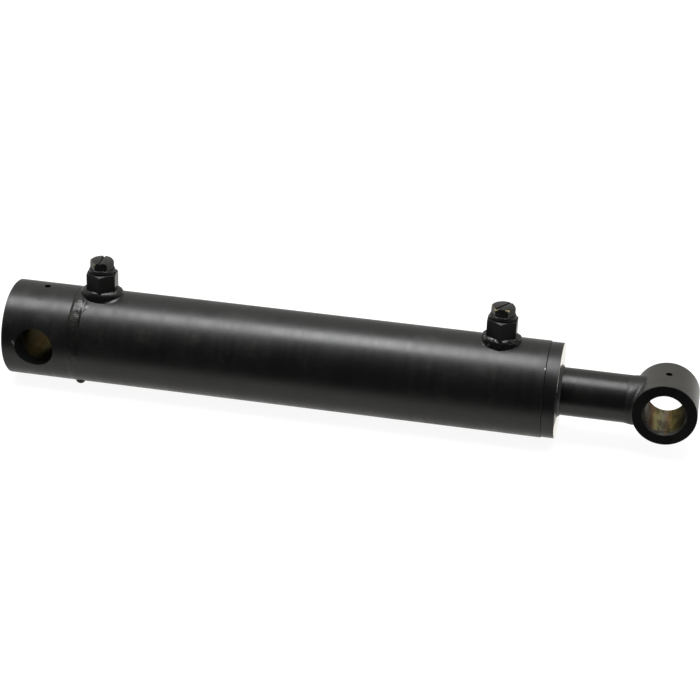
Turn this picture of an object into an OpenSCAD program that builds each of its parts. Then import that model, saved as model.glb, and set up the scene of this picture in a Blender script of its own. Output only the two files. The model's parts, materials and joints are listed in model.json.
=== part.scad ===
// Double-acting welded hydraulic cylinder with a cross-bored solid base, a welded barrel,
// a screw-in gland, a solid rod with a welded cross-tube eye, and two plugged ports.
// +X runs along the cylinder towards the rod eye, +Z up through the ports and +Y along both
// pin bores. The origin is the centre of the base pin bore. The rod is fully retracted.

/* [Pins] */
// Distance between the two pin bores with the rod retracted
closed_length = 477.5; // [470:0.5:480]
// Travel of the rod between its two stops
stroke = 250; // [249.5:0.5:251]
// Diameter of both pin bores, for a 30 mm pin
pin_bore_d = 30.1; // [30.0:0.1:30.4]
// Tap drill diameter of the M6 grease holes
grease_hole_d = 5; // [5:0.1:5.2]

/* [Base block] */
// Length of the block beyond the pin bore
base_end = 26.2; // [24:0.1:28]
// Place of the weld seam between the block and the barrel
seam_x = 25.4; // [24:0.1:26]
// Place of the chamber floor, the end of the block's spigot
floor_x = 33; // [32:0.5:33]
// Chamfer round the block's free end
end_chamfer = 0.8; // [0.5:0.1:1.5]

/* [Barrel] */
// Outside diameter of the barrel and the block
barrel_d = 73; // [73:0.5:75]
// Diameter of the barrel's honed bore
bore_d = 63; // [63:63]
// Width of the seam weld on the surface
seam_weld_w = 9.6; // [8:0.2:10]
// Height of the seam weld's crown above the barrel
weld_crown = 0.35; // [0.2:0.05:0.5]

/* [Gland] */
// Place of the joint between the barrel and the gland's flange
joint_x = 389; // [388.5:0.1:389.5]
// Thickness of the gland's flange
flange_w = 9.9; // [9.8:0.1:10.2]
// Diameter of the gland's flange
flange_d = 71.8; // [71:0.1:72.6]
// Major diameter of the gland's thread
gland_thread_d = 66.8; // [66.5:0.1:66.8]

/* [Ports] */
// Place of the base port along the barrel
base_port_x = 44.2; // [43.8:0.1:44.6]
// Place of the head port along the barrel
head_port_x = 352.5; // [352:0.1:352.5]
// Size of the hexagonal boss across its flats
boss_af = 22; // [21:0.5:24]
// Height of the bosses' top above the cylinder's axis
boss_top_z = 54.3; // [53:0.1:56]
// Diameter of the plain hole that stands for the G3/8 thread
port_bore_d = 15.2; // [15.1:0.1:15.3]
// Diameter of the oil passage into the chamber
oil_hole_d = 10; // [8:0.5:10]
// Size of the plugs' hexagon across its flats
plug_af = 16; // [15:0.5:17]
// Diameter of the plugs' collar
plug_collar_d = 20.4; // [19:0.1:21]
// Radius of the port welds' foot on the barrel
port_weld_r = 15.6; // [15:0.1:17]

/* [Rod] */
// Diameter of the chromed rod
rod_d = 36; // [36:36]
// Outside diameter of the rod eye
eye_d = 48; // [47:0.5:50]
// Length of the rod eye along its pin
eye_w = 40.6; // [38:0.1:41]
// Chamfer at each mouth of the eye's bore
eye_chamfer = 1.4; // [0.5:0.1:1.8]
// Place where the rod's weld bevel starts
rod_bevel_x = 448.3; // [445:0.1:449]

/* [Piston] */
// Place of the piston's face on the nut side
piston_x = 50; // [50:0.5:51]
// Length of the piston's full-diameter part
piston_w = 40; // [40:0.5:41]
// Length of the piston's nose on the rod side
nose_w = 18; // [14:1:18]
// Diameter of the rod's seat in the piston
seat_d = 25; // [24:0.5:26]
// Diameter of the piston nut's thread
nut_thread_d = 24; // [22:1:24]

/* [Hidden] */
$fn = 96;

cut = 1;                                  // how far a cutter runs past what it cuts
snug = 0.05;                              // clearance between a seal and what it touches
side_gap = 0.15;                          // clearance at each side of a ring in its groove
barrel_r = barrel_d / 2;
bore_r = bore_d / 2;
rod_r = rod_d / 2;
flange_end_x = joint_x + flange_w;
eye_x = closed_length;
thread_x = joint_x - 16;                  // start of the barrel's threaded mouth
thread_bore_r = gland_thread_d / 2 + 0.1;
gland_land_r = bore_r - 0.1;
gland_bore_r = rod_r + 0.3;
band_h = 2.5;                             // radial thickness of the guide rings

piston_r = bore_r - 0.3;
nose_r = 24;
rod_shoulder_x = piston_x + piston_w + nose_w;
rod_tail_x = piston_x - 16;               // free end of the rod's thread
nut_w = 14;
nut_af = 36;
band_w = 9.7;
band_x = [piston_x + 2.5, piston_x + piston_w - 2.5 - band_w];
band_floor_r = bore_r - snug - band_h - snug;
seal_w = 8;
seal_x = piston_x + (piston_w - seal_w) / 2;
seal_floor_r = 26;
seal_ring_r = 29.2;                       // inner radius of the piston seal's slipper ring
o_ring_groove = [piston_x + piston_w + 5, 3.4];
o_ring_floor_r = seat_d / 2 + 2.5;

gland_inner_x = rod_shoulder_x + stroke;  // where the piston's nose stops
guide_groove = [gland_inner_x + 2.5, 9.7]; // place and width of each groove in the gland
rod_seal_groove = [gland_inner_x + 16, 9];
wiper_groove = [flange_end_x - 9.9, 7];
gland_ring_groove = [gland_inner_x + 4, 5];
rod_seal_r = rod_r + 5;
wiper_r = rod_r + 4;
wiper_mouth_r = rod_r + 2.2;
wiper_lip = 1.8;                          // how far the wiper's lip stands out of the gland
gland_ring_floor_r = 28.4;

washer_h = 1;                             // thickness of the sealing washers
collar_h = 2.1;
collar_top_z = boss_top_z + washer_h + collar_h;
plug_top_z = 63.9;
slot_w = 1.4;                             // screwdriver slot across each plug's head
slot_depth = 1;
shank_h = 12;
port_depth = 13.5;                        // depth of the port's threaded length
corner_cut = tan(30);                     // slope of a 30 degree corner chamfer on a hexagon
base_boss_turn = 36;                      // how far each boss is turned about its own axis
head_boss_turn = 31;

// ---- shapes that repeat ----

// A solid of revolution about the cylinder's axis, from points of [x, radius].
module turned(points) {
    rotate([0, 90, 0])
        rotate([0, 0, 180])
            rotate_extrude()
                polygon([for (p = points) [p[1], p[0]]]);
}

// A straight cylinder along +X from x0 to x1.
module bar(x0, x1, r) {
    translate([x0, 0, 0])
        rotate([0, 90, 0])
            cylinder(h = x1 - x0, r = r);
}

// A square-section ring about the cylinder's axis.
module ring(x0, w, r_in, r_out) {
    turned([[x0, r_in], [x0 + w, r_in], [x0 + w, r_out], [x0, r_out]]);
}

// A round-section ring about the cylinder's axis, centred at x.
module o_ring(x, r_mid, r_section) {
    translate([x, 0, 0])
        rotate([0, 90, 0])
            rotate_extrude()
                translate([r_mid, 0])
                    circle(r = r_section, $fn = 32);
}

// A bore along Y through the whole width w.
module cross_bore(x, w, d) {
    translate([x, 0, 0])
        rotate([90, 0, 0])
            cylinder(h = w, d = d, center = true);
}

// A hexagonal prism along +Z whose corners are chamfered at 30 degrees round its top, outside
// a circle of radius flat_r.
module chamfered_hex(z0, z1, af, turn, flat_r) {
    corner_r = af / 2 / cos(30);
    intersection() {
        translate([0, 0, z0])
            rotate([0, 0, turn])
                cylinder(h = z1 - z0, r = corner_r, $fn = 6);
        rotate_extrude()
            polygon([[0, z0 - cut], [corner_r + cut, z0 - cut],
                     [corner_r + cut, z1 - (corner_r + cut - flat_r) * corner_cut],
                     [flat_r, z1], [0, z1]]);
    }
}

// ---- barrel ----

module base_block() {
    color("dimgray")
        difference() {
            turned([[-base_end, 0], [floor_x, 0], [floor_x, bore_r - snug - 0.6],
                    [floor_x - 0.6, bore_r - snug], [seam_x, bore_r - snug], [seam_x, barrel_r],
                    [end_chamfer - base_end, barrel_r], [-base_end, barrel_r - end_chamfer]]);
            cross_bore(0, barrel_d + 2 * cut, pin_bore_d);
            cylinder(h = barrel_r + cut, d = grease_hole_d);
        }
}

module oil_hole(x) {
    translate([x, 0, bore_r - 4])
        cylinder(h = 10, d = oil_hole_d);
}

module barrel_tube() {
    color("dimgray")
        difference() {
            turned([[seam_x + 1.6, bore_r], [thread_x, bore_r], [thread_x + 1.5, thread_bore_r],
                    [joint_x - 0.1, thread_bore_r], [joint_x - 0.1, barrel_r - 0.3],
                    [joint_x - 0.4, barrel_r],
                    [seam_x + seam_weld_w, barrel_r], [seam_x + 1.6, bore_r + 0.5]]);
            oil_hole(base_port_x);
            oil_hole(head_port_x);
        }
}

// The bead fills the groove between the block's shoulder and the tube's bevelled end.
module seam_weld() {
    mid_x = seam_x + seam_weld_w / 2;
    color("darkslategray")
        turned([[seam_x, bore_r], [seam_x + 1.6, bore_r], [seam_x + 1.6, bore_r + 0.5],
                [seam_x + seam_weld_w, barrel_r], [mid_x + 2, barrel_r + weld_crown],
                [mid_x - 2, barrel_r + weld_crown], [seam_x, barrel_r]]);
}

// ---- ports ----

module port_boss(x, turn) {
    color("dimgray")
        difference() {
            translate([x, 0, 0])
                chamfered_hex(bore_r, boss_top_z, boss_af, turn, boss_af / 2 - 0.4);
            bar(x - boss_af, x + boss_af, barrel_r);
            translate([x, 0, boss_top_z - port_depth])
                cylinder(h = port_depth + cut, d = port_bore_d);
            translate([x, 0, bore_r])
                cylinder(h = boss_top_z, d = oil_hole_d);
        }
}

module port_weld(x, turn) {
    color("darkslategray")
        difference() {
            translate([x, 0, 29])
                cylinder(h = 12, r1 = port_weld_r + 3, r2 = boss_af / 2 + 0.8);
            translate([x, 0, 20])
                rotate([0, 0, turn])
                    cylinder(h = 30, r = boss_af / 2 / cos(30), $fn = 6);
            bar(x - 25, x + 25, barrel_r);
            bar(seam_x, seam_x + seam_weld_w, barrel_r + weld_crown);
        }
}

module port_plug(x, turn, slot_turn) {
    color("black")
        translate([x, 0, 0])
            difference() {
                union() {
                    translate([0, 0, boss_top_z - shank_h])
                        cylinder(h = shank_h + washer_h + cut, d = port_bore_d - 0.16);
                    rotate_extrude()
                        polygon([[0, collar_top_z - collar_h],
                                 [plug_collar_d / 2 - 0.2, collar_top_z - collar_h],
                                 [plug_collar_d / 2, collar_top_z - collar_h + 0.4],
                                 [plug_collar_d / 2 - 0.7, collar_top_z], [0, collar_top_z]]);
                    chamfered_hex(collar_top_z - cut, plug_top_z, plug_af, turn, plug_af / 2 + 0.1);
                }
                rotate([0, 0, slot_turn])
                    translate([-plug_af, -slot_w / 2, plug_top_z - slot_depth])
                        cube([2 * plug_af, slot_w, slot_depth + cut]);
            }
}

module port_seal(x) {
    color("peru")
        translate([x, 0, boss_top_z])
            difference() {
                cylinder(h = washer_h, r = plug_collar_d / 2 - 0.5);
                translate([0, 0, -cut])
                    cylinder(h = washer_h + 2 * cut, d = port_bore_d);
            }
}

module base_port_boss() { port_boss(base_port_x, base_boss_turn); }
module base_port_weld() { port_weld(base_port_x, base_boss_turn); }
module base_port_plug() { port_plug(base_port_x, 10, 94); }
module base_port_seal() { port_seal(base_port_x); }
module head_port_boss() { port_boss(head_port_x, head_boss_turn); }
module head_port_weld() { port_weld(head_port_x, head_boss_turn); }
module head_port_plug() { port_plug(head_port_x, 56, 57); }
module head_port_seal() { port_seal(head_port_x); }

// ---- gland ----

module gland() {
    flange_r = flange_d / 2;
    color("dimgray")
        difference() {
            turned([[gland_inner_x, gland_bore_r], [wiper_groove[0], gland_bore_r],
                    [wiper_groove[0], wiper_mouth_r], [flange_end_x, wiper_mouth_r],
                    [flange_end_x, flange_r - 0.4], [flange_end_x - 0.4, flange_r],
                    [joint_x + 0.3, flange_r], [joint_x, flange_r - 0.3],
                    [joint_x, gland_thread_d / 2], [thread_x + 2, gland_thread_d / 2],
                    [thread_x, gland_land_r], [gland_inner_x + 1, gland_land_r],
                    [gland_inner_x, gland_land_r - 1]]);
            ring(gland_ring_groove[0], gland_ring_groove[1], gland_ring_floor_r, barrel_r);
            ring(guide_groove[0], guide_groove[1], rod_r - cut, rod_r + snug + band_h + snug);
            ring(rod_seal_groove[0], rod_seal_groove[1], rod_r - cut, rod_seal_r);
            ring(wiper_groove[0], wiper_groove[1], rod_r - cut, wiper_r);
            for (side = [-1, 1])
                translate([flange_end_x - 6, side * 29, 0])
                    rotate([0, 90, 0])
                        cylinder(h = 6 + cut, d = 6);
        }
}

module gland_o_ring() {
    section_r = 1.5;
    color("black")
        o_ring(gland_ring_groove[0] + section_r + side_gap, bore_r - snug - section_r, section_r);
}

module gland_backup_ring() {
    w = 1.4;
    color("ivory")
        ring(gland_ring_groove[0] + gland_ring_groove[1] - w - side_gap, w,
             gland_ring_floor_r + snug, bore_r - snug);
}

module rod_guide_ring() {
    color("saddlebrown")
        ring(guide_groove[0] + side_gap, guide_groove[1] - 2 * side_gap,
             rod_r + snug, rod_r + snug + band_h);
}

// A U-cup whose lips open towards the pressure side.
module rod_seal() {
    x0 = rod_seal_groove[0] + side_gap;
    x1 = rod_seal_groove[0] + rod_seal_groove[1] - side_gap;
    r0 = rod_r + snug;
    r1 = rod_seal_r - snug;
    mid_r = (r0 + r1) / 2;
    color("royalblue")
        turned([[x0, r0], [x1, r0], [x1, r1], [x0, r1], [x0, r1 - 1],
                [x0 + 4, mid_r + 0.5], [x0 + 4, mid_r - 0.5], [x0, r0 + 1]]);
}

// The wiper's lip stands out of the gland's mouth and leans on the rod.
module rod_wiper() {
    x0 = wiper_groove[0] + side_gap;
    x1 = wiper_groove[0] + wiper_groove[1] - side_gap;
    r0 = rod_r + snug;
    color("firebrick")
        turned([[x0, r0], [flange_end_x + wiper_lip, r0], [flange_end_x + wiper_lip, r0 + 0.5],
                [flange_end_x, r0 + 1.6], [x1, r0 + 1.6], [x1, wiper_r - snug], [x0, wiper_r - snug]]);
}

// ---- rod ----

module piston_rod() {
    tail_r = nut_thread_d / 2 - snug;
    seat_r = seat_d / 2 - snug;
    bevel_end_x = rod_bevel_x + 5;
    color("lightsteelblue")
        difference() {
            turned([[rod_tail_x, 0], [bevel_end_x + 4, 0], [bevel_end_x + 4, rod_r - 6],
                    [bevel_end_x, rod_r - 6], [rod_bevel_x, rod_r], [rod_shoulder_x + 0.5, rod_r],
                    [rod_shoulder_x, rod_r - 0.5], [rod_shoulder_x, seat_r], [piston_x, seat_r],
                    [piston_x, tail_r], [rod_tail_x + 1.5, tail_r], [rod_tail_x, tail_r - 1.5]]);
            cross_bore(eye_x, eye_w, eye_d);
        }
}

module rod_eye() {
    half = eye_w / 2;
    outer_r = eye_d / 2;
    bore = pin_bore_d / 2;
    color("dimgray")
        translate([eye_x, 0, 0])
            difference() {
                rotate([90, 0, 0])
                    rotate_extrude()
                        polygon([[bore, eye_chamfer - half], [bore + eye_chamfer, -half],
                                 [outer_r - 0.4, -half], [outer_r, 0.4 - half],
                                 [outer_r, half - 0.4], [outer_r - 0.4, half],
                                 [bore + eye_chamfer, half], [bore, half - eye_chamfer]]);
                cylinder(h = outer_r + cut, d = grease_hole_d);
            }
}

// The bead fills the bevel between the rod's end and the eye, flush with the rod.
module rod_eye_weld() {
    bevel_end_x = rod_bevel_x + 5;
    bead_r = rod_r + 0.3;
    color("darkslategray")
        difference() {
            turned([[rod_bevel_x, rod_r], [bevel_end_x, rod_r - 6], [bevel_end_x + 4, rod_r - 6],
                    [eye_x - 10, rod_r - 6], [eye_x - 10, bead_r], [rod_bevel_x + 3, bead_r]]);
            cross_bore(eye_x, 2 * eye_w, eye_d);
        }
}

// ---- piston ----

module piston() {
    color("silver")
        difference() {
            turned([[piston_x, seat_d / 2], [rod_shoulder_x, seat_d / 2], [rod_shoulder_x, nose_r - 1],
                    [rod_shoulder_x - 1, nose_r], [piston_x + piston_w, nose_r],
                    [piston_x + piston_w, piston_r - 1], [piston_x + piston_w - 1, piston_r],
                    [piston_x + 1, piston_r], [piston_x, piston_r - 1]]);
            for (x = band_x)
                ring(x, band_w, band_floor_r, bore_r);
            ring(seal_x, seal_w, seal_floor_r, bore_r);
            ring(o_ring_groove[0], o_ring_groove[1], seat_d / 2 - cut, o_ring_floor_r);
        }
}

module piston_seal() {
    color("royalblue")
        ring(seal_x + side_gap, seal_w - 2 * side_gap, seal_ring_r, bore_r - snug);
}

module piston_seal_energiser() {
    section_r = (seal_ring_r - seal_floor_r) / 2 - snug;
    color("black")
        o_ring(seal_x + seal_w / 2, seal_ring_r - snug - section_r, section_r);
}

module piston_guide_rings() {
    color("saddlebrown")
        for (x = band_x)
            ring(x + side_gap, band_w - 2 * side_gap, bore_r - snug - band_h, bore_r - snug);
}

module piston_o_ring() {
    section_r = 1.2;
    color("black")
        o_ring(o_ring_groove[0] + o_ring_groove[1] / 2, o_ring_floor_r - snug - section_r, section_r);
}

module piston_nut() {
    corner_r = nut_af / 2 / cos(30);
    color("gold")
        difference() {
            translate([piston_x - nut_w, 0, 0])
                rotate([0, 90, 0])
                    cylinder(h = nut_w, r = corner_r, $fn = 6);
            bar(piston_x - nut_w - cut, piston_x + cut, nut_thread_d / 2);
        }
}

base_block();
barrel_tube();
seam_weld();
base_port_boss();
base_port_weld();
base_port_plug();
base_port_seal();
head_port_boss();
head_port_weld();
head_port_plug();
head_port_seal();
gland();
gland_o_ring();
gland_backup_ring();
rod_guide_ring();
rod_seal();
rod_wiper();
piston_rod();
rod_eye();
rod_eye_weld();
piston();
piston_seal();
piston_seal_energiser();
piston_guide_rings();
piston_o_ring();
piston_nut();
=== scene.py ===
"""Looks of the hydraulic cylinder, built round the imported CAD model.

The row's frame: +X along the cylinder, +Y along both pin bores, +Z out through the ports.
Sizes are in metres. Details are written in millimetres and multiplied by MM. Angles round the
cylinder are in degrees, from straight up towards -Y, the side that the camera sees.
"""

import json
import math

import bmesh
import bpy
from mathutils import Matrix, Vector, noise


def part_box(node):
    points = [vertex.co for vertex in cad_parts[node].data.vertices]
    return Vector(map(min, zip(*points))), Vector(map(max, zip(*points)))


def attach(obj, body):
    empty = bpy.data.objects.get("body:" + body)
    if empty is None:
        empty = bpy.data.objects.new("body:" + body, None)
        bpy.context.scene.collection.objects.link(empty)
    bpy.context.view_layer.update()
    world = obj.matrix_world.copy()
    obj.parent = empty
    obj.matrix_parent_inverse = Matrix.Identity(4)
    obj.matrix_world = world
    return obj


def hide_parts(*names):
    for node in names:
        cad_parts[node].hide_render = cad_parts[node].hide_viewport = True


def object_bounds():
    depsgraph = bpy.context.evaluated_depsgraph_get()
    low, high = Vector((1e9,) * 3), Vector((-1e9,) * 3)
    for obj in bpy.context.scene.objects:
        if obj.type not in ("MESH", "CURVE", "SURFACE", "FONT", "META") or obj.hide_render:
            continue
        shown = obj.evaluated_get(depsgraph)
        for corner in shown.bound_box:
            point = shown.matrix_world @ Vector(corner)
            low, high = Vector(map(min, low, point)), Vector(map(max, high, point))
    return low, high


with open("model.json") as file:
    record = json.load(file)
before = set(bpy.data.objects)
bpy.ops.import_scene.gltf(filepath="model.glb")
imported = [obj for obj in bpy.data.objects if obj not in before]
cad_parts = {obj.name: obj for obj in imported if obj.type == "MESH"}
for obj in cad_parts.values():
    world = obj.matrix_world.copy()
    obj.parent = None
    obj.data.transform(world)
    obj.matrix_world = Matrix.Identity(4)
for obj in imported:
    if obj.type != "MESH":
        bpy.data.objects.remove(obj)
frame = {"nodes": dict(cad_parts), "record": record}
cad_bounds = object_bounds()

MM = 0.001

# ---- places, all read from the frame ----

BARREL_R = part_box("barrel_tube")[1].y
BARREL_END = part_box("barrel_tube")[1].x
SEAM_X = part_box("seam_weld")[0].x
SEAM_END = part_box("seam_weld")[1].x
GLAND_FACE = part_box("gland")[1].x
ROD_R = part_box("piston_rod")[1].y
EYE_LOW, EYE_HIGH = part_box("rod_eye")
EYE_X = (EYE_LOW.x + EYE_HIGH.x) / 2
EYE_R = (EYE_HIGH.x - EYE_LOW.x) / 2
ROD_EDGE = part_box("rod_eye_weld")[0].x - 0.2 * MM  # a feathered edge, just outside the CAD weld's
FLOOR_Z = cad_bounds[0][2]
MOUNTS = {mount["name"]: mount for mount in frame["record"]["mounts"]}
PIN_R = MOUNTS["base_pin_bore"]["dims"]["r_mm"] * MM
PORT_X = {end: MOUNTS[end + "_port"]["pos_m"][0] for end in ("base", "head")}
BOSS_TOP = MOUNTS["base_port"]["pos_m"][2]


# ---- camera, floor and light ----

AIM = Vector((0.2388, 0.0, 0.0128))
CAMERA_ELEVATION = 25.62
CAMERA_AZIMUTH = 10.65
CAMERA_ROLL = 2.17
CAMERA_DISTANCE = 1.4736
FOCAL_LENGTH = 100.25

# How brightly the surroundings shine, by the angle round the cylinder: a pale studio behind,
# darkness behind the camera and a pale table below.
SKY = ((-180, 0.5), (-150, 0.6), (-116, 0.95), (-98, 0.6), (-75, 0.45), (-40, 0.6), (15, 0.6),
       (45, 0.15), (60, 0.03), (90, 0.02), (118, 0.03), (130, 0.5), (142, 0.8), (165, 0.6),
       (180, 0.5))
SKY_TINT = (1.0, 0.985, 0.945)
LIGHT_TINT = (0.985, 0.992, 1.0)
LIGHT_HEIGHT = 1.25
WHITE = (1, 1, 1, 1)


def look_from(azimuth, elevation):
    """Unit vector from the object towards a point in the sky; azimuth 0 is -Y, and 90 is +X."""
    a, e = math.radians(azimuth), math.radians(elevation)
    return Vector((math.sin(a) * math.cos(e), -math.cos(a) * math.cos(e), math.sin(e)))


def make_camera():
    """The camera that took the view from in front, aimed at the middle of the cylinder."""
    data = bpy.data.cameras.new("camera")
    data.lens = FOCAL_LENGTH
    data.clip_start = 0.01
    data.clip_end = 20
    camera = bpy.data.objects.new("camera", data)
    bpy.context.scene.collection.objects.link(camera)
    back = look_from(CAMERA_AZIMUTH, CAMERA_ELEVATION)
    level = (-back).to_track_quat("-Z", "Y")
    roll = Matrix.Rotation(math.radians(CAMERA_ROLL), 3, "Z").to_quaternion()
    camera.rotation_mode = "QUATERNION"
    camera.rotation_quaternion = level @ roll
    camera.location = AIM + back * CAMERA_DISTANCE
    bpy.context.scene.camera = camera


def make_light(name, x, y, size, power):
    """A soft box that hangs over a place and faces the middle of the object."""
    data = bpy.data.lights.new(name, "AREA")
    data.shape = "RECTANGLE"
    data.size, data.size_y = size
    data.energy = power
    data.color = LIGHT_TINT
    light = bpy.data.objects.new(name, data)
    light.location = (x, y, LIGHT_HEIGHT)
    light.rotation_mode = "QUATERNION"
    light.rotation_quaternion = (light.location - AIM).to_track_quat("Z", "Y")
    bpy.context.scene.collection.objects.link(light)


class Graph:
    """A small helper round a node tree."""

    def __init__(self, tree):
        self.tree = tree
        tree.nodes.clear()

    def node(self, kind, inputs=None, **settings):
        """A new node, with its inputs by name or number and its own settings."""
        made = self.tree.nodes.new(kind)
        for key, value in settings.items():
            setattr(made, key, value)
        for key, value in (inputs or {}).items():
            self.put(made.inputs[key], value)
        return made

    def put(self, socket, value):
        """Links another node's output to a socket, or sets the socket to a constant."""
        if isinstance(value, bpy.types.NodeSocket):
            self.tree.links.new(value, socket)
        else:
            socket.default_value = value

    def math(self, operation, a, b=0.0):
        return self.node("ShaderNodeMath", {0: a, 1: b}, operation=operation).outputs[0]

    def add(self, a, b):
        return self.math("ADD", a, b)

    def times(self, a, b):
        return self.math("MULTIPLY", a, b)

    def one_less(self, value):
        """1 - value."""
        return self.math("SUBTRACT", 1.0, value)

    def coords(self):
        return self.node("ShaderNodeTexCoord").outputs["Object"]

    def axes(self, vector=None):
        return self.node("ShaderNodeSeparateXYZ", {0: vector or self.coords()}).outputs

    def vector(self, x, y=0.0):
        return self.node("ShaderNodeCombineXYZ", {0: x, 1: y}).outputs[0]

    def scaled(self, vector, scale):
        return self.node("ShaderNodeMapping", {"Vector": vector, "Scale": scale}).outputs[0]

    def noise(self, vector, scale, detail=2.0, roughness=0.5):
        return self.node("ShaderNodeTexNoise", {
            "Vector": vector, "Scale": scale, "Detail": detail, "Roughness": roughness,
        }).outputs["Fac"]

    def streaks(self, vector, scale, detail=2.0, roughness=0.5):
        """Noise with a scale of its own along each axis."""
        return self.noise(self.scaled(vector, scale), 1.0, detail, roughness)

    def span(self, value, low, high, to_low=0.0, to_high=1.0):
        """value mapped smoothly from low..high onto to_low..to_high, and clamped."""
        return self.node("ShaderNodeMapRange", {
            "Value": value, "From Min": low, "From Max": high, "To Min": to_low, "To Max": to_high,
        }, interpolation_type="SMOOTHSTEP").outputs[0]

    def mix(self, share, a, b):
        """Colour a where share is 0 and colour b where it is 1."""
        made = self.node("ShaderNodeMix", data_type="RGBA")
        self.put(made.inputs["Factor"], share)
        self.put(made.inputs[6], a)
        self.put(made.inputs[7], b)
        return made.outputs[2]

    def blend(self, share, a, b):
        """Number a where share is 0 and number b where it is 1."""
        made = self.node("ShaderNodeMix", data_type="FLOAT")
        self.put(made.inputs["Factor"], share)
        self.put(made.inputs[2], a)
        self.put(made.inputs[3], b)
        return made.outputs[0]

    def ramp(self, value, stops):
        """Colour by a value from 0 to 1; stops are (place, colour)."""
        made = self.node("ShaderNodeValToRGB", {0: value})
        points = made.color_ramp.elements
        while len(points) < len(stops):
            points.new(0.5)
        for point, (place, color) in zip(points, stops):
            point.position = place
            point.color = (*color, 1)
        return made.outputs[0]

    def length(self, a, b):
        """Length of the vector (a, b)."""
        squares = self.add(self.times(a, a), self.times(b, b))
        return self.math("SQRT", squares)

    def spot(self, at, place, size, squash=(1, 1, 1), ragged=0.5):
        """1 inside a ragged spot of a given radius round a place, 0 outside it.

        A squash below 1 makes the spot longer along that axis."""
        away = self.node("ShaderNodeVectorMath", {
            0: self.scaled(at, squash), 1: place * Vector(squash),
        }, operation="DISTANCE").outputs["Value"]
        wobble = self.times(self.add(self.noise(at, 0.8 / size, 3), -0.5), ragged * size * 4)
        return self.span(self.add(away, wobble), size * 0.8, size * 1.1, 1.0, 0.0)

    def bump(self, height, distance):
        """A normal bent by a height from 0 to 1, which stands for a distance in metres."""
        return self.node("ShaderNodeBump", {"Height": height, "Distance": distance}).outputs[0]


def shade(graph, **values):
    """Ends a material with a Principled shader; values name its sockets with _ for a space."""
    names = {key.replace("_", " "): value for key, value in values.items()}
    made = graph.node("ShaderNodeBsdfPrincipled", names)
    out = graph.node("ShaderNodeOutputMaterial")
    graph.tree.links.new(made.outputs[0], out.inputs["Surface"])


def new_material(name):
    made = bpy.data.materials.new(name)
    made.use_nodes = True
    return made, Graph(made.node_tree)


def make_world():
    """White to the camera, and the studio of SKY to everything else."""
    world = bpy.data.worlds.new("studio")
    world.use_nodes = True
    bpy.context.scene.world = world
    g = Graph(world.node_tree)
    _, y, z = g.axes(g.node("ShaderNodeTexCoord").outputs["Generated"])
    angle = g.math("ARCTAN2", g.times(y, -1.0), z)
    turn = g.add(g.math("DIVIDE", angle, 2 * math.pi), 0.5)
    stops = [((degrees + 180) / 360, [shine * tint for tint in SKY_TINT]) for degrees, shine in SKY]
    seen = g.node("ShaderNodeLightPath").outputs["Is Camera Ray"]
    color = g.mix(seen, g.ramp(turn, stops), WHITE)
    background = g.node("ShaderNodeBackground", {"Color": color, "Strength": 1.0})
    out = g.node("ShaderNodeOutputWorld")
    g.tree.links.new(background.outputs[0], out.inputs["Surface"])


def make_floor():
    """A white sweep that glows a little, so that only a faint shadow shows on it."""
    mesh = bpy.data.meshes.new("floor")
    shape = bmesh.new()
    bmesh.ops.create_circle(shape, cap_ends=True, radius=4.0, segments=96)
    bmesh.ops.translate(shape, verts=shape.verts, vec=(AIM.x, 0, FLOOR_Z - 0.2 * MM))
    shape.to_mesh(mesh)
    shape.free()
    floor = bpy.data.objects.new("floor", mesh)
    bpy.context.scene.collection.objects.link(floor)
    made, g = new_material("floor")
    shade(g, Base_Color=(0.2, 0.2, 0.2, 1), Roughness=1.0, Specular_IOR_Level=0.0,
          Emission_Color=WHITE, Emission_Strength=0.92)
    mesh.materials.append(made)
    floor.visible_glossy = False


# ---- materials ----

BLACK = (0.0042, 0.0042, 0.0043, 1)
DUST = (0.03, 0.028, 0.023, 1)
BARE_STEEL = (0.4, 0.39, 0.36, 1)
BORE_GRAZE = (0.58, 0.56, 0.5, 1)
PAINT_RELIEF = 0.03 * MM


def enamel(g, at, gloss=0.33, dusty=0.5):
    """Colour, roughness and height of satin black enamel.

    It has orange peel, faint rings wiped round the cylinder, and dust."""
    peel = g.times(g.noise(at, 700, 2), 0.25)
    waves = g.noise(at, 110, 3)
    rings = g.streaks(at, (190, 5, 5), 5, 0.6)
    cloud = g.noise(at, 20, 5, 0.6)
    specks = g.span(g.noise(at, 500, 5, 0.7), 0.62, 0.75)
    haze = g.times(g.span(g.noise(at, 55, 6, 0.65), 0.5, 0.8), g.span(cloud, 0.35, 0.7))
    dust = g.times(g.math("MAXIMUM", haze, g.times(specks, 0.5)), dusty)
    rough = g.add(g.span(cloud, 0.3, 0.7, gloss - 0.03, gloss + 0.05),
                  g.span(rings, 0.3, 0.7, -0.03, 0.04))
    rough = g.add(rough, g.times(dust, 0.25))
    return g.mix(dust, BLACK, DUST), rough, g.add(peel, waves)


def boss_paint():
    """Clean, even paint on the port bosses."""
    made, g = new_material("boss_paint")
    color, rough, height = enamel(g, g.coords(), 0.29, 0.15)
    shade(g, Base_Color=color, Roughness=rough, Specular_IOR_Level=0.2,
          Normal=g.bump(height, PAINT_RELIEF))
    return made


def black_paint():
    """Paint of the barrel, with the staking mark at the gland joint bare."""
    made, g = new_material("black_paint")
    at = g.coords()
    color, rough, height = enamel(g, at)
    bare = g.spot(at, Vector(on_barrel(BARREL_END - 0.4 * MM, 40)), 0.45 * MM, (1, 0.6, 0.6))
    shade(g, Base_Color=g.mix(bare, color, BARE_STEEL), Metallic=bare, Roughness=rough,
          Normal=g.bump(g.add(height, g.times(bare, -1.5)), PAINT_RELIEF))
    return made


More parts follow.
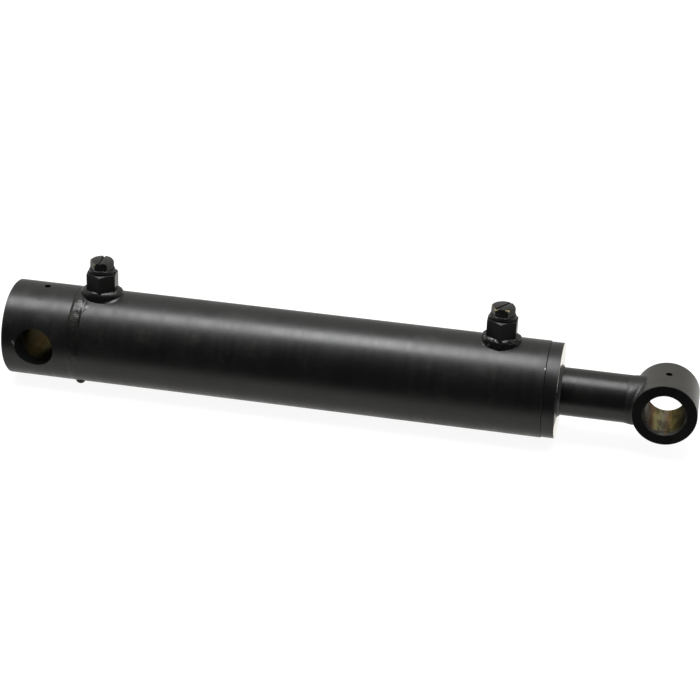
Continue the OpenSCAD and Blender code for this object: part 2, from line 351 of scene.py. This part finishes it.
def oily_bore(g, at, centre, mouth, stops):
    """Colour, roughness, bare share and whole share of a bore along Y.

    Stops tint it by the angle from -X to +X. Paint has blown into each mouth, as far as a place
    `mouth` from the middle of the bore."""
    x, y, z = g.axes(at)
    x = g.add(x, -centre)
    inside = g.span(g.length(x, z), PIN_R + 0.15 * MM, PIN_R + 0.45 * MM, 1.0, 0.0)
    blotch = g.noise(at, 160, 4, 0.6)
    drift = g.times(g.add(g.noise(at, 90, 4, 0.6), -0.5), 26 * MM)
    deep = g.span(g.add(g.math("ABSOLUTE", y), drift), mouth - 2.5 * MM, mouth + 2.5 * MM, 1.0, 0.0)
    around = g.math("DIVIDE", g.math("ARCTAN2", g.math("ABSOLUTE", z), g.times(x, -1.0)), math.pi)
    around = g.add(around, g.times(g.add(blotch, -0.5), 0.2))
    streak = g.span(g.streaks(at, (260, 60, 260), 4), 0.42, 0.62)
    color = g.mix(g.times(streak, 0.65), g.ramp(around, stops), (0.05, 0.04, 0.02, 1))
    shaded = g.span(around, 0.7, 0.86)
    rough = g.add(g.add(0.18, g.times(blotch, 0.3)), g.times(shaded, 0.35))
    return color, rough, g.times(inside, deep), inside


def base_paint():
    """Paint of the base block, bare in its pin bore and chipped beside it."""
    made, g = new_material("base_paint")
    at = g.coords()
    color, rough, height = enamel(g, at)
    # Round the bore from -X to +X: dark towards -X, then the oil film's olive and brown, brightened
    # in the middle as painted light falling into the bore, then dark towards +X as painted shade.
    stops = ((0.0, (0.015, 0.014, 0.012)), (0.2, (0.05, 0.047, 0.03)),
             (0.34, (0.085, 0.05, 0.022)), (0.44, (0.07, 0.066, 0.035)),
             (0.56, (0.065, 0.066, 0.048)), (0.68, (0.025, 0.026, 0.024)),
             (1.0, (0.01, 0.01, 0.01)))
    bore, bore_rough, bare, inside = oily_bore(g, at, 0.0, 21 * MM, stops)
    beside_hole = Vector((-16.75 * MM, -36.35 * MM, 3.2 * MM))
    chip = g.spot(at, beside_hole, 0.75 * MM, (1, 1, 0.6))
    scrape = g.spot(at, beside_hole + Vector((1.15 * MM, 0.0, -1.3 * MM)), 0.3 * MM, (1, 0.5, 0.16))
    chip = g.math("MAXIMUM", chip, g.times(scrape, 0.5))
    dent = g.spot(at, Vector(on_barrel(-0.7 * MM, 27)), 1.0 * MM)
    color = g.mix(chip, g.mix(bare, color, bore), BARE_STEEL)
    rough = g.blend(bare, g.add(rough, g.times(inside, 0.25)), bore_rough)
    height = g.add(height, g.times(g.add(chip, g.times(dent, 4.0)), -2.0))
    shade(g, Base_Color=color, Roughness=rough, Metallic=g.math("MAXIMUM", bare, chip),
          Specular_IOR_Level=g.blend(inside, 0.5, 0.15),
          Specular_Tint=g.mix(bare, WHITE, BORE_GRAZE), Normal=g.bump(height, PAINT_RELIEF))
    return made


def weld_paint(name, gloss, scorched):
    """Paint that pooled on a bead, with scorched brown in places."""
    made, g = new_material(name)
    at = g.coords()
    color, rough, height = enamel(g, at, gloss, 0.35)
    scorch = g.times(g.span(g.noise(at, 140, 4, 0.6), 0.52, 0.68), scorched)
    grit = g.noise(at, 1500, 3, 0.6)
    shade(g, Base_Color=g.mix(scorch, color, (0.035, 0.026, 0.017, 1)), Roughness=rough,
          Normal=g.bump(g.add(height, grit), 0.04 * MM))
    return made


def gland_finish():
    """Black round the flange, and bare turned metal on its end face except for a black patch beside
    the rod, on its -Y side."""
    made, g = new_material("gland_finish")
    at = g.coords()
    x, y, z = g.axes(at)
    color, rough, height = enamel(g, at)
    ragged = g.times(g.noise(at, 900, 3), 0.2 * MM)
    face = g.span(g.add(x, ragged), GLAND_FACE - 0.1 * MM, GLAND_FACE + 0.02 * MM)
    # Black on the end face where it lies beside the rod: small |z|, and y below about -6 to -12 mm.
    black_beside_rod = g.add(g.math("ABSOLUTE", z), g.times(g.noise(at, 150, 4), 6 * MM))
    black_beside_rod = g.times(g.span(black_beside_rod, 17 * MM, 21 * MM, 1.0, 0.0),
                    g.span(y, -12 * MM, -6 * MM, 1.0, 0.0))
    face = g.times(face, g.one_less(black_beside_rod))
    turned = g.streaks(g.vector(g.length(y, z)), (4500, 1, 1), 3)
    stain = g.span(g.noise(at, 90, 5, 0.6), 0.45, 0.7)
    bare = g.mix(g.times(stain, 0.5), (0.9, 0.87, 0.8, 1), (0.62, 0.56, 0.44, 1))
    height = g.blend(face, height, g.times(turned, 0.5))
    shade(g, Base_Color=g.mix(face, color, bare), Metallic=face,
          Roughness=g.blend(face, rough, 0.13), Normal=g.bump(height, 0.02 * MM))
    return made


def rod_finish():
    """Ground and polished hard chrome, painted where the rod stands out of the gland at rest."""
    made, g = new_material("chromed_rod")
    at = g.coords()
    x = g.axes(at)[0]
    color, rough, height = enamel(g, at, 0.27, 0.35)
    ragged = g.times(g.noise(at, 500, 3), 0.7 * MM)
    painted = g.span(g.add(x, ragged), GLAND_FACE + 0.55 * MM, GLAND_FACE + 0.75 * MM)
    ground = g.streaks(at, (2600, 40, 40), 3)
    smear = g.streaks(at, (14, 90, 90), 4, 0.6)
    chrome_rough = g.add(g.span(smear, 0.3, 0.7, 0.06, 0.12), g.times(ground, 0.04))
    scratched_at = Vector((GLAND_FACE + 7 * MM, -13 * MM, 12.5 * MM))
    scratch = g.spot(at, scratched_at, 0.35 * MM, (0.16, 0.12, 0.12))
    height = g.blend(painted, g.times(ground, 0.12), g.add(height, g.times(scratch, -0.8)))
    shade(g, Base_Color=g.mix(painted, (0.78, 0.79, 0.81, 1), color),
          Metallic=g.one_less(painted), Roughness=g.blend(painted, chrome_rough, rough),
          Normal=g.bump(height, 0.02 * MM))
    return made


def eye_paint():
    """Paint of the rod eye: paler on top, and darker on its end faces as painted shade. Its bare
    bore has heat tints beside the rod's weld, and painted shade towards +X."""
    made, g = new_material("eye_paint")
    at = g.coords()
    color, rough, height = enamel(g, at, 0.27, 0.3)
    _, side, up = g.axes(g.node("ShaderNodeTexCoord").outputs["Normal"])
    # Paler and warmer where the surface looks up, picked by the surface's normal, in noisy patches.
    paler_on_top = g.times(g.span(up, 0.0, 0.9), g.span(g.noise(at, 80, 5), 0.2, 0.8, 0.6, 1.0))
    color = g.mix(paler_on_top, color, (0.030, 0.029, 0.025, 1))
    # The end faces, which look along Y, are painted darker than the paint elsewhere: painted shade.
    painted_shade_end_faces = g.span(g.math("ABSOLUTE", side), 0.9, 0.98)
    color = g.mix(painted_shade_end_faces, color, (0.0016, 0.0016, 0.0017, 1))
    # Round the bore from -X to +X: real heat tints, from blue-grey through brown and gold, near the
    # rod's weld, then dark towards +X as painted shade.
    stops = ((0.0, (0.04, 0.043, 0.055)), (0.2, (0.10, 0.10, 0.12)),
             (0.29, (0.20, 0.11, 0.075)), (0.36, (0.38, 0.34, 0.17)),
             (0.44, (0.33, 0.31, 0.18)), (0.5, (0.31, 0.29, 0.24)),
             (0.56, (0.30, 0.20, 0.10)), (0.64, (0.18, 0.155, 0.06)),
             (0.73, (0.05, 0.042, 0.02)), (0.86, (0.055, 0.05, 0.04)),
             (1.0, (0.02, 0.02, 0.02)))
    bore, bore_rough, bare, inside = oily_bore(g, at, EYE_X, 19.5 * MM, stops)
    rough = g.blend(bare, g.add(rough, g.times(inside, 0.25)), bore_rough)
    shine = g.blend(inside, g.blend(painted_shade_end_faces, 0.5, 0.3), 0.15)
    shade(g, Base_Color=g.mix(bare, color, bore), Roughness=rough, Metallic=bare,
          Specular_IOR_Level=shine, Specular_Tint=g.mix(bare, WHITE, BORE_GRAZE),
          Normal=g.bump(height, PAINT_RELIEF))
    return made


def plug_finish(end, worn):
    """Thin black over yellow zinc, on the head only; worn is how much zinc shows at the corners."""
    made, g = new_material(f"{end}_plug_finish")
    at = g.coords()
    x, y, z = g.axes(at)
    color, rough, height = enamel(g, at, 0.27, 0.6)
    reach = g.length(g.add(x, -PORT_X[end]), y)
    corners = g.times(g.span(reach, 7.9 * MM, 8.8 * MM),
                      g.span(z, BOSS_TOP + 7.2 * MM, BOSS_TOP + 8.2 * MM))
    rubbed = g.span(g.add(g.noise(at, 260, 4, 0.6), g.times(corners, worn)), 0.78, 0.9)
    shank = g.span(z, BOSS_TOP + 0.2 * MM, BOSS_TOP + 0.6 * MM, 1.0, 0.0)
    bare = g.math("MAXIMUM", rubbed, shank)
    zinc = g.mix(g.noise(at, 300, 3), (0.62, 0.52, 0.22, 1), (0.75, 0.66, 0.38, 1))
    shade(g, Base_Color=g.mix(bare, color, zinc), Metallic=bare,
          Roughness=g.blend(bare, rough, 0.28), Normal=g.bump(height, PAINT_RELIEF))
    return made


def washer_finish(end):
    """A copper washer, painted over on its rim."""
    made, g = new_material(f"{end}_washer_finish")
    at = g.coords()
    x, y, _ = g.axes(at)
    color, rough, height = enamel(g, at, 0.3)
    reach = g.add(g.length(g.add(x, -PORT_X[end]), y), g.times(g.noise(at, 400, 3), 0.5 * MM))
    painted = g.span(reach, 9.3 * MM, 9.6 * MM)
    copper = g.mix(g.noise(at, 200, 4), (0.55, 0.25, 0.14, 1), (0.35, 0.14, 0.07, 1))
    shade(g, Base_Color=g.mix(painted, copper, color), Metallic=g.one_less(painted),
          Roughness=g.blend(painted, 0.35, rough), Normal=g.bump(height, PAINT_RELIEF))
    return made


def rubber(name, color, roughness, grain):
    """Moulded rubber or plastic: fine grain, flow lines round the axis and a powdery bloom."""
    made, g = new_material(name)
    at = g.coords()
    bloom = g.span(g.noise(at, 90, 5, 0.6), 0.45, 0.8, 0.0, 0.35)
    flow = g.streaks(at, (1800, 60, 60), 3)
    height = g.add(g.times(g.noise(at, 2500, 2), grain), flow)
    pale = tuple(0.7 * c + 0.12 for c in color)
    shade(g, Base_Color=g.mix(bloom, (*color, 1), (*pale, 1)),
          Roughness=g.add(roughness, g.times(bloom, 0.3)), Normal=g.bump(height, 0.02 * MM))
    return made


def woven_resin():
    """Fabric-reinforced resin, with its weave showing through as a fine check."""
    made, g = new_material("guide_resin")
    at = g.coords()
    x, y, z = g.axes(at)
    along = g.math("SINE", g.times(x, 5200.0))
    angle = g.math("ARCTAN2", y, z)
    across = g.math("SINE", g.times(angle, 130.0))
    weave = g.times(along, across)
    fade = g.noise(at, 120, 4)
    color = g.mix(g.span(weave, -0.8, 0.8), (0.16, 0.06, 0.025, 1), (0.30, 0.13, 0.05, 1))
    color = g.mix(g.times(fade, 0.4), color, (0.12, 0.05, 0.03, 1))
    shade(g, Base_Color=color, Roughness=g.span(fade, 0.3, 0.7, 0.45, 0.6),
          Normal=g.bump(weave, 0.03 * MM))
    return made


def turned_metal(name, light, dark, roughness):
    """Metal with a lathe's rings and oil stains."""
    made, g = new_material(name)
    at = g.coords()
    x, y, z = g.axes(at)
    radius = g.length(y, z)
    cut = g.noise(g.vector(g.times(x, 5000.0), g.times(radius, 5000.0)), 1.0, 2)
    stain = g.span(g.noise(at, 70, 5, 0.6), 0.4, 0.75)
    shade(g, Base_Color=g.mix(stain, (*light, 1), (*dark, 1)), Metallic=1.0,
          Roughness=g.add(roughness, g.times(cut, 0.12)), Normal=g.bump(cut, 0.012 * MM))
    return made


# ---- meshes ----

def on_barrel(x, angle, height=0.0):
    """A point at an angle round the barrel, a height above its surface."""
    a = math.radians(angle)
    r = BARREL_R + height
    return (x, -r * math.sin(a), r * math.cos(a))


def hump(angle, centre, half_width):
    """1 at a centre angle, falling smoothly to 0 at half_width from it. In degrees."""
    away = abs((angle - centre + 180) % 360 - 180) / half_width
    return max(0.0, 1 - away * away) ** 2


def rough_at(point, size, seed=0.0):
    """Smooth noise from -1 to 1, with humps of about a given size in metres."""
    return noise.noise(Vector(point) / size + Vector((seed, 2.7 * seed, 5.1 * seed)))


def ripple(along, across, pitch, bow=1.1):
    """The crescent steps of a weld bead, from -0.6 to 0.4; across runs from -1 to 1 over it."""
    return abs(math.sin(math.pi * (along / pitch + bow * across * across))) - 0.6


def make_piece(name, points, faces, material, body, slot, *replaced):
    """A smooth mesh that rides on a body, and may stand for CAD nodes."""
    mesh = bpy.data.meshes.new(name)
    mesh.from_pydata([tuple(p) for p in points], [], faces)
    shape = bmesh.new()
    shape.from_mesh(mesh)
    bmesh.ops.recalc_face_normals(shape, faces=shape.faces)
    shape.to_mesh(mesh)
    shape.free()
    mesh.polygons.foreach_set("use_smooth", [True] * len(mesh.polygons))
    mesh.materials.append(material)
    piece = bpy.data.objects.new(name, mesh)
    bpy.context.scene.collection.objects.link(piece)
    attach(piece, body)
    if replaced:
        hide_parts(*replaced)
    return piece


def torus_faces(around, across):
    """Faces of a closed ring with `around` sections of `across` points each."""
    return [(i * across + j, i * across + (j + 1) % across,
             (i + 1) % around * across + (j + 1) % across, (i + 1) % around * across + j)
            for i in range(around) for j in range(across)]


def bead(name, section, around, material, body, replaced):
    """A closed ring of weld; section(angle in degrees) gives the points across it."""
    rings = [section(360 * i / around) for i in range(around)]
    points = [p for ring in rings for p in ring]
    faces = torus_faces(around, len(rings[0]))
    make_piece(name, points, faces, material, body, "painted_weld", replaced)


# Round the barrel, in degrees: where the seam weld runs out over the tube, where it has cut into
# the tube, and where its drip hangs.
RUN_OUT_AT = 30
UNDERCUT_AT = 50
DRIP_AT = 152


def seam_section(angle):
    """The bead between base block and tube: low and even, but heaped up beside the base port.

    The heap runs out over the tube, an undercut follows it, and a drip hangs from the underside."""
    heap = max(hump(angle, RUN_OUT_AT, 26), 0.5 * hump(angle, 3, 9))
    groove = 0.10 + 1.3 * hump(angle, UNDERCUT_AT, 20)
    points = []
    steps = 30
    width = SEAM_END - SEAM_X
    for k in range(steps + 1):
        u = k / steps
        x = SEAM_X + 0.05 * MM + u * (width + 0.25 * MM)
        flat = on_barrel(x, angle)
        side = 2 * u - 1
        crown = (0.34 + 0.06 * rough_at(flat, 14 * MM) + 0.55 * heap) * (1 - abs(side) ** 2.6)
        steps_up = 0.07 * ripple(math.radians(angle) * BARREL_R, side, 1.5 * MM) * (1 - side * side)
        lumps = (0.08 + 0.34 * heap) * rough_at(flat, 3.6 * MM, 1.0) * (1 - side ** 4)
        left = (0.3 * hump(angle, 25, 55) - 0.1) * math.exp(-((x - SEAM_X) / (0.5 * MM)) ** 2)
        jag = 0.5 * rough_at(flat, 1.6 * MM, 2.0) * hump(angle, UNDERCUT_AT + 1, 22)
        from_groove = (x - SEAM_END + (0.9 + jag) * MM) / (0.55 * MM)
        right = groove * (1 + jag) * math.exp(-from_groove ** 2)
        end = 0.3 * (1 - min(1.0, 3 * hump(angle, RUN_OUT_AT, 11))) if k == steps else 0.0
        round_drip = (angle - DRIP_AT) * math.radians(1) * BARREL_R / (3.1 * MM)
        along_drip = (x - SEAM_X - 5 * MM) / (3.3 * MM)
        drip = 2.1 * math.sqrt(max(0.0, 1 - round_drip ** 2 - along_drip ** 2))
        height = crown + steps_up + lumps - left - right - end + drip
        points.append(on_barrel(x, angle, height * MM))
    run_out = 0.3 + 4.2 * hump(angle, RUN_OUT_AT, 11)
    sunk = 0.3 if run_out < 0.4 else 0.0
    for k in range(1, 9):
        v = k / 8
        tongue = 0.4 * hump(angle, RUN_OUT_AT, 10) * (1 - v * v) ** 2
        height = tongue - 0.12 * v ** 3 - sunk
        points.append(on_barrel(SEAM_END + (0.3 + run_out * v) * MM, angle, height * MM))
    points.append(on_barrel(SEAM_END - 0.6 * MM, angle, -0.9 * MM))
    points.append(on_barrel(SEAM_X + 0.8 * MM, angle, -4.0 * MM))
    return points


def port_section(end, side_reach, foot_at, lumpy, seed):
    """Gives the section of the fillet bead round a boss, by an angle from +X towards +Y.

    The bead reaches a given distance along X, and its foot spreads at one angle."""
    centre = PORT_X[end]
    inner = 10.4 * MM
    front_reach = 14.0 * MM

    def section(angle):
        c = math.cos(math.radians(angle))
        s = math.sin(math.radians(angle))
        reach = front_reach + (side_reach - front_reach) * c * c
        reach += 0.35 * MM * rough_at((c, s, seed), 0.7)
        foot = (0.5 + 2.0 * hump(angle, foot_at, 50)) * MM

        def ground(rho):
            return math.sqrt(BARREL_R ** 2 - (rho * s) ** 2)

        top = 41.2 * MM + 0.35 * MM * rough_at((c, s, seed), 0.5, 3.0)
        rise = top - ground(inner)
        points = []
        crown_steps = 22
        for k in range(crown_steps + 1):
            t = k / crown_steps * 0.93 * math.pi / 2
            rho = inner + (reach - inner) * math.sin(t) ** 0.85
            z = ground(rho) + rise * math.cos(t) ** 0.85
            spot = (centre + rho * c, rho * s, z)
            across = 2 * k / crown_steps - 1
            swell = lumpy * 0.55 * rough_at(spot, 3.0 * MM, seed)
            swell += (0.08 + 0.1 * lumpy) * rough_at(spot, 1.2 * MM, seed)
            along = math.radians(angle) * reach
            swell += (0.05 + 0.08 * lumpy) * ripple(along, across, 1.5 * MM, 0.8)
            swell *= MM * min(1.0, 3 * k / crown_steps)
            r = rho + swell * math.sin(t)
            points.append((centre + r * c, r * s, z + swell * math.cos(t)))
        last = Vector(points[-1])
        rho_1 = math.hypot(last.x - centre, last.y)
        lift = last.z - ground(rho_1)
        foot_steps = 8
        for k in range(1, foot_steps + 1):
            u = k / foot_steps
            rho = rho_1 + foot * u
            grain = 0.06 * MM * rough_at((rho * c, rho * s, 0), 1.5 * MM, seed)
            z = ground(rho) + (lift + grain) * (1 - u) ** 2 - 0.25 * MM * u
            points.append((centre + rho * c, rho * s, z))
        points.append((centre + inner * c, inner * s, ground(inner) - 1.5 * MM))
        return points

    return section


def eye_section(angle):
    """The filled groove between rod and eye, from the groove's edge to the eye's own surface."""
    a = math.radians(angle)
    down = hump(angle, 180, 70)

    def seat(r):
        """Where the eye's surface starts at a distance r from the rod's axis."""
        return EYE_X - math.sqrt(EYE_R ** 2 - (r * math.cos(a)) ** 2)

    toe_r = ROD_R + 1.25 * MM
    end = seat(toe_r)
    points = []
    steps = 30
    crown_from = max(ROD_EDGE, end - (9.0 + 7.0 * down) * MM)
    for k in range(steps + 1):
        x = ROD_EDGE + (end + 0.25 * MM - ROD_EDGE) * k / steps
        across = min(1.0, max(-1.0, 2 * (x - crown_from) / (end - crown_from) - 1))
        flat = (x, -ROD_R * math.sin(a), ROD_R * math.cos(a))
        near_eye = max(0.0, 1 - (end - x) / (2.6 * MM)) ** 2
        rise = (1 - across * across) ** 2
        crown = 0.42 + 0.08 * rough_at(flat, 7 * MM, 4.0) + 0.5 * down
        grain = 0.015 * ripple(a * ROD_R, across, 1.9 * MM) + 0.04 * rough_at(flat, 4.5 * MM, 5.0)
        height = 0.02 + crown * rise + 0.95 * near_eye
        height += grain * rise
        if k == 0:
            height = -0.15
        r = ROD_R + height * MM
        points.append((x, -r * math.sin(a), r * math.cos(a)))
    for x, r in ((end + 1.0 * MM, ROD_R - 3 * MM), (ROD_EDGE + 5.5 * MM, ROD_R - 5.5 * MM)):
        points.append((x, -r * math.sin(a), r * math.cos(a)))
    return points


# ---- plugs and port threads ----

# The thread is a G3/8. Heights are from the boss's top, where the sealing washer lies.
THREAD_PITCH = 1.337 * MM
THREAD_DEPTH = 0.8 * MM
THREAD_CREST = 7.46 * MM
SHANK_FOOT = BOSS_TOP - 12 * MM
PLUG_FLATS = 16 * MM
COLLAR_FOOT = BOSS_TOP + 1 * MM
# The collar's outline from its foot up, as (radius, height) in millimetres.
COLLAR_OUTLINE = ((6.8, 0.0), (9.9, 0.0), (10.1, 0.08), (10.2, 0.3), (10.15, 0.55), (9.6, 1.9),
                  (9.45, 2.05))
SLOT_WIDTH = 1.4 * MM
SLOT_DEPTH = 1 * MM
PORT_FOOT = BOSS_TOP - 13.3 * MM
PORT_ROOT = 7.58 * MM
PORT_WALL = 8.4 * MM  # hidden in the boss's own metal


def thread_radius(angle, z):
    """Radius of a right-handed thread at an angle and height, with flat crests and roots."""
    turns = (z - SHANK_FOOT) / THREAD_PITCH - angle / (2 * math.pi)
    wave = 2 * abs(turns - math.floor(turns) - 0.5)
    wave = min(1.0, max(0.0, (wave - 0.08) / 0.84))
    return THREAD_CREST - THREAD_DEPTH * (1 - wave)


def hex_radius(angle, across_flats, corner):
    """Distance from a hexagon's centre to its side; angles in radians."""
    return across_flats / 2 / math.cos((angle - corner) % (math.pi / 3) - math.pi / 6)


def lathe(centre, rows, angles, capped=True):
    """Points and faces of rings about +Z; a row is a function of the angle that gives (radius, z).

    A capped shape gets a flat face on its first and last ring. Any other joins its last ring to
    its first."""
    points = []
    for row in rows:
        for angle in angles:
            r, z = row(angle)
            points.append((centre + r * math.cos(angle), r * math.sin(angle), z))
    around = len(angles)
    faces = []
    for j in range(len(rows) - 1 if capped else len(rows)):
        low, high = j * around, (j + 1) % len(rows) * around
        for i in range(around):
            k = (i + 1) % around
            faces.append((low + i, low + k, high + k, high + i))
    if capped:
        faces.append(tuple(range(around)))
        faces.append(tuple((len(rows) - 1) * around + i for i in range(around)))
    return points, faces


def ring_row(r, z):
    return lambda angle: (r, z)


def thread_row(z, grow, widest):
    """A ring of a thread's surface, made larger by `grow` and cut off at a radius."""
    return lambda angle: (min(widest, thread_radius(angle, z) + grow), z)


def make_plug(end, corner, slot_angle, worn):
    """A slotted hexagon plug: threaded shank, tapered collar and chamfered head.

    corner and slot_angle turn the hexagon and the slot, in degrees from +X towards +Y."""
    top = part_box(end + "_port_plug")[1].z
    flat_r = PLUG_FLATS / 2 + 0.1 * MM
    corner_r = PLUG_FLATS / 2 / math.cos(math.pi / 6) - 0.12 * MM
    corner = math.radians(corner)
    slope = math.tan(math.radians(30))

    def side(angle):
        return min(hex_radius(angle, PLUG_FLATS, corner), corner_r)

    def foot_row(grow, rise):
        return lambda angle: (side(angle) + grow, COLLAR_FOOT + rise)

    def edge_row(shrink, drop):
        """A ring inside the head's sides, below the chamfer that cuts its corners."""
        return lambda angle: (side(angle) - shrink,
                              top - max(0.0, side(angle) - flat_r) * slope - drop)

    rows = [ring_row(5.4 * MM, SHANK_FOOT)]
    steps = 84
    for k in range(steps + 1):
        z = SHANK_FOOT + (BOSS_TOP - 0.6 * MM - SHANK_FOOT) * k / steps
        rows.append(thread_row(z, 0.0, 6.3 * MM + (z - SHANK_FOOT) * 1.2))
    rows += [ring_row(6.6 * MM, BOSS_TOP - 0.3 * MM), ring_row(6.6 * MM, COLLAR_FOOT - 0.2 * MM)]
    rows += [ring_row(r * MM, COLLAR_FOOT + rise * MM) for r, rise in COLLAR_OUTLINE]
    rows += [foot_row(0.12 * MM, 2.12 * MM), foot_row(0.0, 2.3 * MM), edge_row(0.0, 0.2 * MM),
             edge_row(0.04 * MM, 0.05 * MM), edge_row(0.25 * MM, 0.0),
             ring_row(flat_r - 0.4 * MM, top)]
    angles = []
    for k in range(6):
        first = corner + k * math.pi / 3
        angles += [first + math.radians(d) for d in (-0.5, 0.5, 1.5)]
        angles += [first + math.radians(1.5 + 57 * i / 11) for i in range(1, 12)]
    points, faces = lathe(PORT_X[end], rows, angles)
    plug = make_piece(f"{end}_plug_turned", points, faces, plug_finish(end, worn), f"{end}_plug",
                      "plug_finish", f"{end}_port_plug")
    cut_slot(plug, PORT_X[end], top, math.radians(slot_angle))


def cut_slot(plug, centre, top, turn):
    """Cuts a screwdriver slot across the head of a plug."""
    bpy.ops.mesh.primitive_cube_add(size=1)
    cutter = bpy.context.active_object
    cutter.scale = (30 * MM, SLOT_WIDTH, 2 * SLOT_DEPTH)
    cutter.rotation_euler = (0, 0, turn)
    cutter.location = (centre, 0, top)
    cut = plug.modifiers.new("slot", "BOOLEAN")
    cut.object = cutter
    cut.solver = "EXACT"
    bpy.context.view_layer.update()
    slotted = plug.evaluated_get(bpy.context.evaluated_depsgraph_get())
    plug.data = bpy.data.meshes.new_from_object(slotted)
    plug.modifiers.clear()
    bpy.data.objects.remove(cutter)
    plug.data.set_sharp_from_angle(angle=math.radians(40))
    soften(plug, 0.12 * MM, 50)


def make_port_thread(end):
    """The tapped thread inside a boss, which the plug's own thread runs in."""

    def threaded_row(z):
        """A ring of the thread, opened out where it nears the boss's top."""
        row = thread_row(z, 0.09 * MM, PORT_ROOT)
        opened = PORT_ROOT + z - BOSS_TOP + 0.1 * MM
        return lambda angle: (max(row(angle)[0], opened), z)

    rows = [ring_row(PORT_WALL, PORT_FOOT), ring_row(PORT_ROOT, PORT_FOOT)]
    steps = 88
    for k in range(steps + 1):
        rows.append(threaded_row(PORT_FOOT + 0.2 * MM
                                 + (BOSS_TOP - 0.25 * MM - PORT_FOOT) * k / steps))
    rows += [ring_row(PORT_ROOT + 0.04 * MM, BOSS_TOP - 0.03 * MM),
             ring_row(PORT_WALL, BOSS_TOP - 0.1 * MM)]
    angles = [2 * math.pi * i / 84 for i in range(84)]
    points, faces = lathe(PORT_X[end], rows, angles, capped=False)
    thread = make_piece(f"{end}_port_thread", points, faces, PORT_STEEL, "barrel", "piston_steel")
    thread.data.set_sharp_from_angle(angle=math.radians(60))


def soften(piece, width, angle=28):
    """Rounds the edges of a piece that are sharper than an angle in degrees."""
    bevel = piece.modifiers.new("soften", "BEVEL")
    bevel.width = width
    bevel.segments = 2
    bevel.limit_method = "ANGLE"
    bevel.angle_limit = math.radians(angle)
    bevel.harden_normals = True


# ---- the scene ----

make_camera()
make_world()
make_floor()
make_light("overhead_base", -0.2, -0.08, (0.5, 0.84), 10.6)
make_light("overhead_rod", 0.35, -0.07, (0.6, 0.96), 8.9)

PAINTED_WELD = weld_paint("painted_weld", 0.27, 0.4)
PORT_WELD = weld_paint("port_weld", 0.24, 0.12)
EYE_WELD = weld_paint("eye_weld", 0.38, 0.15)
PORT_STEEL = turned_metal("port_steel", (0.42, 0.40, 0.36), (0.12, 0.10, 0.08), 0.3)
PAINT = black_paint()
BOSS_PAINT = boss_paint()
SLOT_LOOKS = {
    "black_paint": PAINT,
    "painted_weld": PAINTED_WELD,
    "nitrile_rubber": rubber("nitrile_rubber", (0.018, 0.018, 0.018), 0.42, 0.4),
    "backup_plastic": rubber("backup_plastic", (0.72, 0.70, 0.62), 0.38, 0.2),
    "guide_resin": woven_resin(),
    "seal_polyurethane": rubber("seal_polyurethane", (0.02, 0.10, 0.36), 0.3, 0.15),
    "wiper_polyurethane": rubber("wiper_polyurethane", (0.02, 0.02, 0.023), 0.36, 0.2),
    "gland_finish": gland_finish(),
    "chromed_rod": rod_finish(),
    "piston_steel": turned_metal("piston_steel", (0.55, 0.55, 0.54), (0.32, 0.30, 0.26), 0.22),
    "zinc_steel": turned_metal("zinc_steel", (0.66, 0.62, 0.46), (0.45, 0.38, 0.22), 0.26),
}
NODE_LOOKS = {
    "base_block": base_paint(),
    "base_port_boss": BOSS_PAINT,
    "head_port_boss": BOSS_PAINT,
    "rod_eye": eye_paint(),
    "base_port_seal": washer_finish("base"),
    "head_port_seal": washer_finish("head"),
}
for part in frame["record"]["subparts"]:
    shown = frame["nodes"][part["node"]]
    shown.data.materials.clear()
    slot_look = SLOT_LOOKS.get(part["material_slot"], PAINT)
    shown.data.materials.append(NODE_LOOKS.get(part["node"], slot_look))

base_fillet = port_section("base", 16.2 * MM, 318, 0.25, 11.0)
head_fillet = port_section("head", 15.2 * MM, 200, 1.1, 15.0)
bead("seam_weld_bead", seam_section, 1320, PAINTED_WELD, "barrel", "seam_weld")
bead("base_port_weld_bead", base_fillet, 500, PORT_WELD, "barrel", "base_port_weld")
bead("head_port_weld_bead", head_fillet, 500, PORT_WELD, "barrel", "head_port_weld")
bead("rod_eye_weld_bead", eye_section, 720, EYE_WELD, "rod", "rod_eye_weld")
make_plug("base", 10, 94, 0.25)
make_plug("head", 56, 57, 0.42)
for end in ("base", "head"):
    make_port_thread(end)

for name in ("base_block", "barrel_tube", "base_port_boss", "head_port_boss", "gland", "rod_eye"):
    soften(frame["nodes"][name], 0.25 * MM)

bpy.context.scene.view_settings.view_transform = "Standard"
